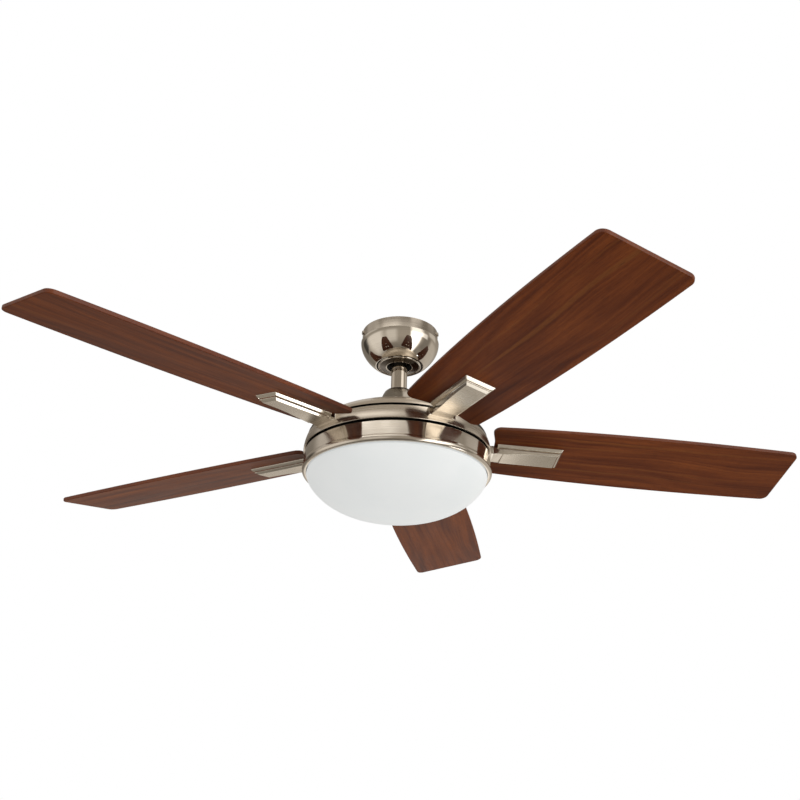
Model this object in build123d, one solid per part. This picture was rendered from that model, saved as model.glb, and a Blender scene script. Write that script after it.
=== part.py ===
from build123d import *
import math
import os

os.makedirs("parts", exist_ok=True)

# ------------------------------------------------------------------ driving dimensions (mm)
# Origin: middle of the ceiling face of the hanger bracket. +Z is up, the fan hangs to -Z.
BLADE_PLANE_Z = -203.0     # height of the blade undersides on the fan's axis
FIRST_BLADE_DEG = 7.59     # direction of blade 1, from +X towards +Y
BLADE_COUNT = 5
BLADE_PITCH_DEG = -11.46   # twist of each blade about its own length
BLADE_DROOP_DEG = -0.91    # tips hang a little lower than the roots
BLADE_ROOT_R = 159.0       # root ends are arcs about the fan's axis
BLADE_TIP_R = 660.4        # 52 in span
BLADE_THICK = 6.4
BLADE_HALF_WIDTHS = [(146.0, 62.96), (200.0, 66.9), (300.0, 71.5), (400.0, 73.8), (500.0, 73.9), (600.0, 72.0), (660.4, 70.0)]
ROOT_CORNER_R = 12.0
TIP_CORNER_R = 13.0

CEILING_SLOT_SPACING = 88.9
CEILING_SLOT_WIDTH = 5.0
CEILING_SLOT_LENGTH = 14.0
BRACKET_THICK = 2.5
BALL_Z = -33.0             # centre of the hanger ball
BALL_R = 26.0
SEAT_IN_R = 26.3
SEAT_OUT_R = 29.0
SOCKET_R = 29.3

CANOPY_BAND_R = 64.0
CANOPY_BOWL_R = 66.0
CANOPY_BOTTOM_Z = -62.5
CANOPY_HOLE_R = 21.0
CANOPY_SCREW_Z = -8.0
ROD_R = 13.35
ROD_BORE_R = 11.0

CAP_EDGE_R = 146.0
ROTOR_BAND_R = 147.0       # at its top; the band flares downwards
ROTOR_SKIRT_R = 152.2
RING_R = 152.5
BOWL_R = 145.7
BOWL_BOTTOM = -122.7       # below the blade plane
GLASS_WALL = 3.5

ARM_END_R = 272.5
ARM_FLANGE_R = 162.0
ARM_HALF_W = 25.0
ARM_RIM_T = 1.0
ARM_FLANGE_T = 4.4
ARM_STEP_T = 2.5
FOOT_R = 157.0
FOOT_HALF_DEG = 8.4
FOOT_LOW, FOOT_HIGH = -14.7, -1.2

ZB = BLADE_PLANE_Z
NODES = {}


# ------------------------------------------------------------------ helpers
def zb(p):
    """profile points given against the blade plane, moved to the part's frame"""
    return [(r, z + ZB) for r, z in p]


def lathe(points):
    return revolve(Plane.XZ * make_face(Polyline(*points, close=True)), Axis.Z)


def lathe_edges(edges):
    return revolve(Plane.XZ * make_face(edges), Axis.Z)


def tube(r_out, r_in, z0, z1):
    return lathe([(r_in, z0), (r_out, z0), (r_out, z1), (r_in, z1)])


def rod(r, z0, z1):
    return Pos(0, 0, (z0 + z1) / 2) * Cylinder(r, z1 - z0)


def block(x0, x1, y0, y1, z0, z1):
    return Pos((x0 + x1) / 2, (y0 + y1) / 2, (z0 + z1) / 2) * Box(x1 - x0, y1 - y0, z1 - z0)


def along_x(r, x0, x1, y, z):
    return Pos((x0 + x1) / 2, y, z) * Rot(0, 90, 0) * Cylinder(r, x1 - x0)


def along_y(r, y0, y1, x, z):
    return Pos(x, (y0 + y1) / 2, z) * Rot(90, 0, 0) * Cylinder(r, y1 - y0)


def wedge(half_deg, reach, z0, z1, at_deg=0.0):
    """a sector of a disc, about the axis, as a cutting tool"""
    a = math.radians(half_deg)
    pts = [(0, 0), (reach * math.cos(a), -reach * math.sin(a)), (reach * 1.05, 0), (reach * math.cos(a), reach * math.sin(a))]
    body = extrude(make_face(Polyline(*pts, close=True)), z1 - z0)
    return Rot(0, 0, at_deg) * Pos(0, 0, z0) * body


def add(name, *solids):
    flat = []
    for s in solids:
        flat.extend(list(s.solids()))
    NODES[name] = flat[0] if len(flat) == 1 else Compound(children=flat)


# ------------------------------------------------------------------ ceiling side
plate = block(-60.5, 60.5, -20, 20, -BRACKET_THICK, 0) & rod(60.5, -BRACKET_THICK - 1, 1)
plate += block(-16, 16, 18, 52, -BRACKET_THICK, 0)
plate -= rod(12, -5, 5)
for sx in (-1, 1):
    slot = extrude(SlotOverall(CEILING_SLOT_LENGTH, CEILING_SLOT_WIDTH), 10)
    plate -= Pos(sx * CEILING_SLOT_SPACING / 2, 0, -5) * slot
ears = tube(60.5, 58.0, -16, 0) & (wedge(19, 80, -16, 0) + wedge(19, 80, -16, 0, 180))
arc_in = ThreePointArc(
    (SOCKET_R, BALL_Z),
    (SOCKET_R * math.cos(math.radians(25)), BALL_Z - SOCKET_R * math.sin(math.radians(25))),
    (SOCKET_R * math.cos(math.radians(48)), BALL_Z - SOCKET_R * math.sin(math.radians(48))),
)
low = arc_in @ 1
socket = lathe_edges([arc_in.edge(), *Polyline((low.X, low.Y), (low.X + 2.2, low.Y - 1.5), (33.5, BALL_Z - 12), (33.5, BALL_Z), (SOCKET_R, BALL_Z)).edges()])
socket -= block(-16.5, 16.5, -60, 0, -70, -20)
straps = block(30.5, 33.4, -13, 13, BALL_Z - 4, -1) + block(-33.4, -30.5, -13, 13, BALL_Z - 4, -1)
straps -= Pos(0, 0, BALL_Z) * Sphere(SOCKET_R)
bracket = plate + ears + straps + socket
for at in (14, -14, 166, 194):
    bracket -= Rot(0, 0, at) * along_x(2.0, 50, 66, 0, CANOPY_SCREW_Z)
bracket -= Pos(-22, -13, -1) * Cylinder(1.6, 8)
add("hanger_bracket", bracket)
add("ground_screw", Pos(-22, -13, -BRACKET_THICK - 1.2) * Cylinder(3.6, 2.4) + Pos(-22, -13, -2.6) * Cylinder(1.6, 3.8))

receiver = block(-23, 23, 36.5, 52, -24, -BRACKET_THICK)
receiver = fillet(receiver.edges().filter_by(Axis.Z), 2.5)
add("receiver_box", receiver)

band = lathe([(62, -1), (CANOPY_BAND_R, -1), (CANOPY_BAND_R, -20), (64.8, -20), (64.8, -24), (62, -24)])
for at in (14, -14, 166, 194):
    band -= Rot(0, 0, at) * along_x(2.3, 55, 70, 0, CANOPY_SCREW_Z)
add("canopy_band", band)

bowl_out = [(CANOPY_BOWL_R, -20), (65.4, -26.6), (63.7, -33.3), (60.7, -40.0), (56.6, -46.6), (51.2, -53.2), (44.4, -59.6), (40.2, CANOPY_BOTTOM_Z)]
bowl_in = [(41.5, -59.8), (43.4, -58.4), (50.2, -52.2), (55.5, -45.8), (59.5, -39.4), (62.5, -32.8), (64.2, -27.0), (64.8, -24)]
bowl = lathe_edges([
    Spline(*bowl_out).edge(),
    *Polyline((40.2, CANOPY_BOTTOM_Z), (38.9, CANOPY_BOTTOM_Z - 0.1), (38.3, -61.0), (30, -61.0), (30, -59.8), (41.5, -59.8)).edges(),
    Spline(*bowl_in).edge(),
    *Polyline((64.8, -24), (64.8, -20), (CANOPY_BOWL_R, -20)).edges(),
])
add("canopy_bowl", bowl)
add("canopy_trim", lathe([
    (CANOPY_HOLE_R, -63.0), (CANOPY_HOLE_R, -64.3), (21.7, -64.9), (22.6, -64.8), (33.4, -62.7), (34.2, -63.2), (35.2, -63.35), (36.2, -62.9),
    (36.6, -62.2), (36.6, -61.0), (33.0, -61.0)]))
screws = []
for at in (14, -14, 166, 194):
    s = along_x(2.0, 57.0, 65.0, 0, CANOPY_SCREW_Z) + along_x(3.6, 64.02, 66.2, 0, CANOPY_SCREW_Z)
    s -= block(65.5, 67, -3, 3, CANOPY_SCREW_Z - 0.45, CANOPY_SCREW_Z + 0.45)
    s -= block(65.5, 67, -0.45, 0.45, CANOPY_SCREW_Z - 3, CANOPY_SCREW_Z + 3)
    screws.append(Rot(0, 0, at) * s)
add("canopy_screws", *screws)

# ------------------------------------------------------------------ hanger ball and its seat
def sphere_zone(r_out, r_in, top, bottom):
    """ring between two spheres about the ball's centre, between two heights against it"""
    o = lambda z: math.sqrt(r_out**2 - z**2)
    i = lambda z: math.sqrt(r_in**2 - z**2)
    mid = (top + bottom) / 2
    a = ThreePointArc((o(top), BALL_Z + top), (o(mid), BALL_Z + mid), (o(bottom), BALL_Z + bottom))
    b = ThreePointArc((i(bottom), BALL_Z + bottom), (i(mid), BALL_Z + mid), (i(top), BALL_Z + top))
    return lathe_edges([
        a.edge(), Line((o(bottom), BALL_Z + bottom), (i(bottom), BALL_Z + bottom)).edge(),
        b.edge(), Line((i(top), BALL_Z + top), (o(top), BALL_Z + top)).edge()])


add("ball_seat", sphere_zone(SEAT_OUT_R, SEAT_IN_R, -5.0, -18.5))

top_o, bot_o = 13.0, -19.5
ball_arc = ThreePointArc((math.sqrt(BALL_R**2 - top_o**2), BALL_Z + top_o), (BALL_R, BALL_Z), (math.sqrt(BALL_R**2 - bot_o**2), BALL_Z + bot_o))
ball = lathe_edges([
    ball_arc.edge(),
    *Polyline((math.sqrt(BALL_R**2 - bot_o**2), BALL_Z + bot_o), (ROD_R, BALL_Z + bot_o), (ROD_R, BALL_Z + top_o), (math.sqrt(BALL_R**2 - top_o**2), BALL_Z + top_o)).edges()])
PIN_Z = BALL_Z + 7.0
ball -= along_x(3.0, -30, 30, 0, PIN_Z)
ball -= along_y(2.5, 0, 30, 0, BALL_Z - 6)
add("hanger_ball", ball)

ROD_TOP, ROD_BOTTOM = BALL_Z + 15.0, ZB + 75.0
YOKE_PIN_Z = ZB + 80.0
pipe = tube(ROD_R, ROD_BORE_R, ROD_BOTTOM, ROD_TOP)
pipe -= along_x(3.0, -30, 30, 0, PIN_Z)
pipe -= along_x(3.2, -30, 30, 0, YOKE_PIN_Z)
add("downrod", pipe)
add("ball_cross_pin", along_x(3.0, -22.5, 22.5, 0, PIN_Z))
add("ball_set_screw", along_y(2.5, ROD_R + 0.02, 23.0, 0, BALL_Z - 6))

# ------------------------------------------------------------------ coupling under its cover
yoke = lathe(zb([(8.0, 44), (8.0, 62), (13.3, 62), (13.3, 75), (ROD_R, 75), (ROD_R, 90.5), (17.8, 90.5), (20.0, 88.0), (20.0, 56), (27.0, 47), (27.0, 40), (12.0, 40), (12.0, 44)]))
yoke -= along_x(3.2, -40, 40, 0, YOKE_PIN_Z)
yoke -= along_y(3.0, 0, 40, 0, ZB + 80)
yoke -= along_y(3.0, -40, 0, 0, ZB + 80)
add("yoke", yoke)
clevis = along_x(3.2, -22.0, 22.6, 0, YOKE_PIN_Z) + along_x(4.6, -23.6, -22.0, 0, YOKE_PIN_Z)
clevis -= Pos(21.2, 0, YOKE_PIN_Z) * Cylinder(0.8, 20)
add("clevis_pin", clevis)
add("cotter_pin", Pos(21.2, 0, YOKE_PIN_Z - 3.5) * Cylinder(0.8, 15) + Pos(21.2, 0, YOKE_PIN_Z + 4.4) * Sphere(1.1))
sets = []
for sy in (1, -1):
    s = along_y(3.0, ROD_R + 0.02, 21.0, 0, ZB + 80) + along_y(4.2, 20.05, 22.4, 0, ZB + 80)
    sets.append(s if sy == 1 else Rot(0, 0, 180) * s)
add("yoke_set_screws", *sets)

cover_out = [(16.2, 94.0), (17.9, 93.5), (20.2, 92.6), (22.0, 91.5), (23.5, 90.0), (24.8, 87.8), (26.0, 85.2), (27.9, 80.8), (31.5, 71.7), (35.2, 62.5), (38.9, 53.4), (43.8, 41.2)]
cover_in = [(42.4, 40.2), (37.6, 52.6), (33.9, 61.9), (30.2, 71.2), (26.7, 80.0), (24.8, 84.6), (23.5, 87.4), (22.3, 89.2), (21.0, 90.4), (19.5, 91.3), (17.6, 92.1), (16.0, 92.6)]
cover = lathe_edges([
    Spline(*zb(cover_out)).edge(),
    *Polyline(*zb([(43.8, 41.2), (43.8, 40.2), (42.4, 40.2)])).edges(),
    Spline(*zb(cover_in)).edge(),
    *Polyline(*zb([(16.0, 92.6), (14.0, 92.9), (14.0, 94.6), (14.8, 94.6), (16.2, 94.0)])).edges()])
add("yoke_cover", cover)

# ------------------------------------------------------------------ fixed upper housing
cap_out = [(62.0, 40.0), (82.0, 37.6), (104.0, 33.0), (122.0, 26.8), (134.0, 19.6), (142.0, 12.2), (CAP_EDGE_R, 5.6)]
cap_in = [(144.4, 5.6), (140.6, 11.4), (132.8, 18.2), (121.2, 25.2), (103.5, 31.4), (81.6, 36.1), (62.0, 38.5)]
cap = lathe_edges([
    Spline(*zb(cap_out)).edge(),
    Line(*zb([(CAP_EDGE_R, 5.6), (144.4, 5.6)])).edge(),
    Spline(*zb(cap_in)).edge(),
    *Polyline(*zb([(62.0, 38.5), (20.5, 38.5), (20.5, 40.0), (62.0, 40.0)])).edges()])
SWITCH_Y = 94.0
cap -= block(-9.0, 9.0, SWITCH_Y - 3.0, SWITCH_Y + 3.0, ZB + 25, ZB + 45)
CAP_SCREWS = [(35 * math.cos(math.radians(a)), 35 * math.sin(math.radians(a))) for a in (45, 135, 225, 315)]
for x, y in CAP_SCREWS:
    cap -= Pos(x, y, ZB + 39) * Cylinder(2.2, 10)
SWITCH_SCREWS = [(-15.5, SWITCH_Y), (15.5, SWITCH_Y)]
for x, y in SWITCH_SCREWS:
    cap -= Pos(x, y, ZB + 33) * Cylinder(1.7, 16)
add("top_cap", cap)
carrier = lathe(zb([(8.0, 31.5), (18.0, 31.5), (22.0, 35.0), (61.0, 35.0), (61.0, 38.5), (19.5, 38.5), (8.0, 36.0)]))
for x, y in CAP_SCREWS:
    carrier -= Pos(x, y, ZB + 37) * Cylinder(2.0, 10)
add("housing_plate", carrier)
fixings = [Pos(x, y, ZB + 41.0) * Cylinder(4.0, 2.0) + Pos(x, y, ZB + 37.4) * Cylinder(2.0, 6.0) for x, y in CAP_SCREWS]
fixings += [Pos(x, y, ZB + 36.6) * Cylinder(2.8, 1.6) + Pos(x, y, ZB + 32.2) * Cylinder(1.5, 7.4) for x, y in SWITCH_SCREWS]
add("cap_screws", *fixings)

# reversing switch under the cap, with a short sliding button
sw = block(-13, 13, SWITCH_Y - 6, SWITCH_Y + 6, ZB + 21.3, ZB + 31.8)
sw -= block(-8.6, 8.6, SWITCH_Y - 2.4, SWITCH_Y + 2.4, ZB + 25.5, ZB + 35)
sw += block(-18, -13, SWITCH_Y - 4, SWITCH_Y + 4, ZB + 29.8, ZB + 31.8) + block(13, 18, SWITCH_Y - 4, SWITCH_Y + 4, ZB + 29.8, ZB + 31.8)
for x, y in SWITCH_SCREWS:
    sw -= Pos(x, y, ZB + 31) * Cylinder(1.5, 10)
add("reverse_switch", sw)
knob = block(-8.2, 0.2, SWITCH_Y - 2.0, SWITCH_Y + 2.0, ZB + 26.0, ZB + 39.6)
knob = fillet(knob.edges().group_by(Axis.Z)[-1], 0.8)
add("reverse_slider", knob)

# ------------------------------------------------------------------ motor
add("motor_shaft", tube(8.0, 5.0, ZB - 38, ZB + 62))
core = tube(26.0, 8.0, ZB + 2, ZB + 18)
coils = []
for k in range(8):
    a = 45.0 * k
    core += Rot(0, 0, a) * block(24, 53, -6.5, 6.5, ZB + 2, ZB + 18)
    shoe = tube(60.0, 52.0, ZB + 2, ZB + 18) & wedge(18.5, 90, ZB + 2, ZB + 18)
    core += Rot(0, 0, a) * shoe
    coil = block(30, 50, -10.6, 10.6, ZB - 3.2, ZB + 23.2) - block(25, 55, -6.5, 6.5, ZB + 2, ZB + 18)
    coils.append(Rot(0, 0, a) * coil)
add("stator_core", core)
add("stator_windings", *coils)
add("rotor_core", tube(72.0, 60.6, ZB + 1, ZB + 19))
add("rotor_top_bell", lathe(zb([(13.0, 19.5), (16.5, 19.5), (16.5, 26.0), (72.0, 26.0), (72.0, 10.0), (75.5, 10.0), (75.5, 27.6), (74.5, 28.6), (10.5, 28.6), (10.5, 27.0), (13.0, 27.0)])))
bell = lathe(zb([(13.0, 1.0), (16.5, 1.0), (16.5, -5.5), (72.0, -5.5), (72.0, 10.0), (75.5, 10.0), (75.5, -7.0), (74.5, -8.0), (10.5, -8.0), (10.5, -6.4), (13.0, -6.4)]))
add("rotor_bottom_bell", bell)
add("upper_bearing", tube(13.0, 8.05, ZB + 20, ZB + 27))
add("lower_bearing", tube(13.0, 8.05, ZB - 6.4, ZB + 0.6))

# ------------------------------------------------------------------ turning flange and visible band
flange = lathe(zb([(40.0, -8.0), (74.0, -8.0), (79.0, -12.0), (143.0, -12.0), (143.0, -16.0), (77.5, -16.0), (72.5, -12.0), (40.0, -12.0)]))
def flare(more):
    """outer curve of the turning band, moved out by a clearance"""
    return ThreePointArc(*zb([(ROTOR_BAND_R + more, 1.4), (150.9 + more, -10.5), (ROTOR_SKIRT_R + more, -21.0)])).edge()


belt = lathe_edges([
    flare(0.0),
    *Polyline(*zb([(ROTOR_SKIRT_R, -21.0), (ROTOR_SKIRT_R - 0.5, -21.6), (148.4, -21.6), (148.0, -17.6), (143.0, -17.2), (143.0, 0.4), (141.0, 0.4),
                   (141.0, 2.0), (ROTOR_BAND_R - 0.6, 2.0), (ROTOR_BAND_R, 1.4)])).edges()])
belt_space = lathe_edges([
    flare(0.05),
    *Polyline(*zb([(ROTOR_SKIRT_R + 0.05, -21.0), (130.0, -21.0), (130.0, 1.4), (ROTOR_BAND_R + 0.05, 1.4)])).edges()])
ARM_BOLTS = [(124.0, -10.0), (124.0, 10.0)]
HUB_BOLTS = [(60 * math.cos(math.radians(a)), 60 * math.sin(math.radians(a))) for a in (30, 90, 150, 210, 270, 330)]
for x, y in HUB_BOLTS:
    flange -= Pos(x, y, ZB - 10) * Cylinder(2.0, 12)
    bell = bell - Pos(x, y, ZB - 10) * Cylinder(2.0, 12)
add("rotor_bottom_bell", bell)
hub_screws = [Pos(x, y, ZB - 13.2) * Cylinder(3.8, 2.4) + Pos(x, y, ZB - 9.2) * Cylinder(2.0, 7.2) for x, y in HUB_BOLTS]
add("hub_screws", *hub_screws)

# ------------------------------------------------------------------ blades and blade arms
def faceted(sections):
    """closed solid through four-cornered sections, each in order round the section"""
    tri = []
    for a, b in zip(sections, sections[1:]):
        for i in range(4):
            j = (i + 1) % 4
            tri += [(a[i], a[j], b[j]), (a[i], b[j], b[i])]
    s, e = sections[0], sections[-1]
    tri += [(s[0], s[2], s[1]), (s[0], s[3], s[2]), (e[0], e[1], e[2]), (e[0], e[2], e[3])]
    return Solid(Shell([Face(Wire.make_polygon(t, close=True)) for t in tri]))


edge_lo = Spline(*[(u, -h) for u, h in BLADE_HALF_WIDTHS])
edge_hi = Spline(*[(u, h) for u, h in BLADE_HALF_WIDTHS])
u0, h0 = BLADE_HALF_WIDTHS[0]
u1, h1 = BLADE_HALF_WIDTHS[-1]
root_arc = ThreePointArc((u0, h0), (math.hypot(u0, h0), 0), (u0, -h0))
outline = make_face([edge_lo.edge(), Line((u1, -h1), (u1, h1)).edge(), edge_hi.edge(), root_arc.edge()])
outline = fillet([v for v in outline.vertices() if v.X < 300], ROOT_CORNER_R)
outline = fillet([v for v in outline.vertices() if v.X > 640], TIP_CORNER_R)
BLADE_SCREWS = [(188.0, -14.0), (188.0, 14.0), (250.0, 0.0)]
blade = extrude(outline, BLADE_THICK)
for u, v in BLADE_SCREWS:
    blade -= Pos(u, v, BLADE_THICK / 2) * Cylinder(2.4, 20)

# frame with a broad bevel on its two sides and outer end
ingot = block(ARM_FLANGE_R, ARM_END_R, -ARM_HALF_W, ARM_HALF_W, -ARM_RIM_T, 0)
ingot += faceted([[(ARM_FLANGE_R, -b, z), (end, -b, z), (end, b, z), (ARM_FLANGE_R, b, z)]
                  for b, end, z in ((ARM_HALF_W, ARM_END_R, -ARM_RIM_T), (22.4, ARM_END_R - 3.4, -ARM_FLANGE_T))])
ingot += block(ARM_FLANGE_R + 2, ARM_END_R - 4.5, -20.5, 20.5, -ARM_FLANGE_T - ARM_STEP_T, -ARM_FLANGE_T)
# raised flat under the arm: level with the blade at its outer end, level with the motor at its foot
# (distance out, half width and height at the frame, half width at the flat, height of its two edges)
ARM_BODY = [(149.0, 17.6, -2.5, 17.4, -15.8, -8.8), (157.0, 18.2, -3.4, 17.3, -15.8, -8.8), (160.0, 18.6, -3.7, 17.2, -15.2, -8.25),
            (164.5, 19.0, -4.1, 17.1, -14.7, -7.8), (168.0, 19.5, -4.8, 17.0, -14.4, -7.5), (171.2, 19.9, -5.5, 16.9, -14.3, -7.4),
            (171.8, 19.9, -6.3, 17.0, -14.9, -9.5), (190.0, 19.9, -6.3, 17.0, -13.5, -9.7),
            (220.0, 19.9, -6.3, 17.0, -11.0, -9.9), (262.7, 19.9, -6.3, 17.0, -10.15, -10.15), (265.8, 19.9, -6.3, 19.4, -7.0, -7.0)]
ingot += faceted([[(u, -t, top), (u, t, top), (u, b, right), (u, -b, left)] for u, t, top, b, left, right in ARM_BODY])
for u, v in BLADE_SCREWS:
    ingot -= Pos(u, v, 0) * Cylinder(1.9, 14)

fasteners, washers, arm_screws = [], [], []
for k in range(BLADE_COUNT):
    deg = FIRST_BLADE_DEG + 360.0 / BLADE_COUNT * k
    th, ph, co = math.radians(deg), math.radians(BLADE_PITCH_DEG), math.radians(BLADE_DROOP_DEG)
    uh, vh, zh = Vector(math.cos(th), math.sin(th), 0), Vector(-math.sin(th), math.cos(th), 0), Vector(0, 0, 1)
    ua = uh * math.cos(co) + zh * math.sin(co)
    za = zh * math.cos(co) - uh * math.sin(co)
    ww = za * math.cos(ph) - vh * math.sin(ph)
    at = Plane(origin=(0, 0, ZB), x_dir=ua, z_dir=ww)
    add("blade_%d" % (k + 1), at * blade)
    foot = tube(FOOT_R, 145.0, ZB + FOOT_LOW, ZB + FOOT_HIGH) & wedge(FOOT_HALF_DEG, 220, ZB + FOOT_LOW, ZB + FOOT_HIGH)
    tongue = block(112, 153.5, -17, 17, ZB - 12.0, ZB - 8.0)
    for x, y in ARM_BOLTS:
        tongue -= Pos(x, y, ZB - 10) * Cylinder(2.5, 12)
    arm = (at * ingot) + Rot(0, 0, deg) * foot - belt_space
    arm += Rot(0, 0, deg) * tongue
    add("blade_arm_%d" % (k + 1), arm)
    for u, v in BLADE_SCREWS:
        washers.append(at * (Pos(u, v, BLADE_THICK + 0.4) * (Cylinder(6.0, 0.8) - Cylinder(2.4, 3))))
        s = Cylinder(4.4, 2.4) + Pos(0, 0, -7.0) * Cylinder(1.9, 12.0)
        s -= Pos(0, 0, 1.0) * Box(5, 0.9, 1.2) + Pos(0, 0, 1.0) * Box(0.9, 5, 1.2)
        fasteners.append(at * (Pos(u, v, BLADE_THICK + 2.0) * s))
    for x, y in ARM_BOLTS:
        s = Pos(x, y, ZB - 17.3) * Cylinder(4.4, 2.6) + Pos(x, y, ZB - 11.4) * Cylinder(2.5, 9.2)
        arm_screws.append(Rot(0, 0, deg) * s)
        flange -= Rot(0, 0, deg) * (Pos(x, y, ZB - 14) * Cylinder(2.5, 12))
    belt -= Rot(0, 0, deg) * block(135, 160, -17.3, 17.3, ZB - 12.0, ZB - 7.7)
add("blade_screws", *fasteners)
add("blade_washers", *washers)
add("arm_screws", *arm_screws)
add("blade_flange", flange)
add("rotor_band", belt)

# ------------------------------------------------------------------ light kit
PAN_SCREWS = [(34 * math.cos(math.radians(a)), 34 * math.sin(math.radians(a))) for a in (45, 135, 225, 315)]
ring = lathe(zb([
    (138.0, -24.6), (149.0, -24.6), (149.8, -25.4), (150.6, -31.0), (152.0, -48.0), (RING_R + 0.4, -50.6), (RING_R + 0.6, -53.0), (RING_R + 0.1, -55.4),
    (151.4, -57.2), (149.8, -58.2), (148.0, -58.6), (146.6, -58.5), (146.0, -58.0), (146.1, -57.4), (147.8, -57.0), (149.2, -55.4), (149.6, -52.0), (149.6, -49.0), (148.4, -32.0), (147.6, -28.4), (146.8, -26.6), (138.0, -26.6)]))
for k in range(3):
    ring += Rot(0, 0, 30 + 120 * k) * (tube(149.9, 145.2, ZB - 46.6, ZB - 44.6) & wedge(8, 220, ZB - 46.6, ZB - 44.6))
RING_SCREWS = [(139.5 * math.cos(math.radians(a)), 139.5 * math.sin(math.radians(a))) for a in (0, 120, 240)]
pan = lathe(zb([(8.1, -28.6), (8.1, -30.2), (60.0, -30.2), (64.0, -28.2), (143.0, -28.2), (143.0, -26.6), (63.0, -26.6), (59.0, -28.6)]))
for x, y in RING_SCREWS:
    pan -= Pos(x, y, ZB - 27) * Cylinder(2.0, 8)
    ring -= Pos(x, y, ZB - 25.6) * Cylinder(2.0, 6)
add("light_ring", ring)
for x, y in ((0, -72.0), (0, 72.0)):
    pan -= Pos(x, y, ZB - 27) * Cylinder(4.0, 8)
add("light_pan", pan)
add("ring_screws", *[Pos(x, y, ZB - 29.2) * Cylinder(3.6, 2.0) + Pos(x, y, ZB - 26.8) * Cylinder(2.0, 4.2) for x, y in RING_SCREWS])
nut = extrude(RegularPolygon(15.0, 6), 5.0)
nut -= Cylinder(8.0, 20)
add("shaft_nut", Pos(0, 0, ZB - 35.2) * nut)

LAMP_Z = ZB - 62.0
holders, bulbs, straps2 = [], [], []
for s in (1, -1):
    h = along_x(18.0, 14, 34, 0, LAMP_Z) + along_x(15.5, 34, 46, 0, LAMP_Z)
    h -= along_x(13.4, 18, 60, 0, LAMP_Z)
    holders.append(h if s == 1 else Rot(0, 0, 180) * h)
    prof = Spline((47.0, 13.0), (56.0, 13.6), (72.0, 20.0), (92.0, 25.0), (108.0, 22.4), (117.0, 13.0), (119.5, 0.0))
    lamp = revolve(make_face([prof.edge(), *Polyline((119.5, 0), (19.0, 0), (19.0, 12.9), (47.0, 13.0)).edges()]), Axis.X)
    lamp = Pos(0, 0, LAMP_Z) * lamp
    bulbs.append(lamp if s == 1 else Rot(0, 0, 180) * lamp)
    st = block(12.0, 14.0, -10, 10, LAMP_Z - 10, ZB - 30.2) + block(12.0, 30.0, -10, 10, ZB - 32.2, ZB - 30.2)
    st -= block(10, 33, -30, 30, LAMP_Z - 40, ZB - 80)
    st -= rod(16.6, ZB - 40, ZB - 25)
    straps2.append(st if s == 1 else Rot(0, 0, 180) * st)
add("lampholders", *holders)
add("bulbs", *bulbs)
add("lampholder_brackets", *straps2)

cap_box = block(-21, 21, -86, -64, ZB - 54, ZB - 28.2)
cap_box = fillet(cap_box.edges().filter_by(Axis.Z), 3.0)
add("capacitor", cap_box)

# ------------------------------------------------------------------ glass bowl on its twist-lock collar
glass_out = [(BOWL_R, -60.6), (142.4, -70.0), (135.1, -80.0), (125.1, -90.0), (111.2, -100.0), (90.9, -110.0), (63.2, -118.0), (30.7, -122.0), (0.0, BOWL_BOTTOM)]
glass_in = [(0.0, BOWL_BOTTOM + GLASS_WALL), (30.2, -118.5), (61.8, -114.7), (88.8, -107.2), (108.5, -97.7), (122.2, -88.0), (132.0, -78.2), (138.9, -68.8), (141.6, -61.6)]
glass = lathe_edges([
    Spline(*zb(glass_out), tangents=[(0.05, -1), (-1, 0)]).edge(),
    Line(*zb([(0.0, BOWL_BOTTOM), (0.0, BOWL_BOTTOM + GLASS_WALL)])).edge(),
    Spline(*zb(glass_in), tangents=[(1, 0), (0.1, 1)]).edge(),
    *Polyline(*zb([(141.6, -61.6), (139.5, -57.5), (139.5, -40.5), (143.0, -40.5), (143.0, -57.4), (145.0, -59.2), (BOWL_R, -60.6)])).edges()])
add("glass_bowl", glass)
collar = tube(144.4, 143.0, ZB - 50.0, ZB - 39.0) + tube(144.4, 139.5, ZB - 40.5, ZB - 39.0)
for k in range(3):
    collar += Rot(0, 0, 30 + 120 * k) * (tube(148.2, 143.6, ZB - 44.2, ZB - 42.4) & wedge(7, 220, ZB - 44.2, ZB - 42.4))
add("bowl_collar", collar)

for name, shape in NODES.items():
    export_step(shape, "parts/%s.step" % name)
print(len(NODES), "nodes")
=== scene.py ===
import math

import bmesh
import bpy
import numpy as np
from mathutils import Matrix, Vector


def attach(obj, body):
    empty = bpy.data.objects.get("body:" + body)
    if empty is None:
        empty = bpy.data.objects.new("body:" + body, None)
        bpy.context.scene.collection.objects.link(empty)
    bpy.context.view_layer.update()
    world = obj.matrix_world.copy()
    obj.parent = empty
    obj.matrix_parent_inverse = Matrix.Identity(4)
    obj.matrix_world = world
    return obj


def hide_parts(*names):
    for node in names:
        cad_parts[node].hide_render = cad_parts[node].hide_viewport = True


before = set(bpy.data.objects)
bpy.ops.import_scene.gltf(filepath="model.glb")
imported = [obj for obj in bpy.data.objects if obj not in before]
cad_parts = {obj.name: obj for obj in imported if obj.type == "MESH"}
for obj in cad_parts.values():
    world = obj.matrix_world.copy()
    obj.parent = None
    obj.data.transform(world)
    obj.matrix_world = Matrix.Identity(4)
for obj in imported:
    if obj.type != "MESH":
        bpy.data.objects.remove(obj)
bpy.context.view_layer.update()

MM = 0.001
ZB = -203.0          # height of the blade undersides on the axis, mm
rad = math.radians
scene = bpy.context.scene


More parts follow.
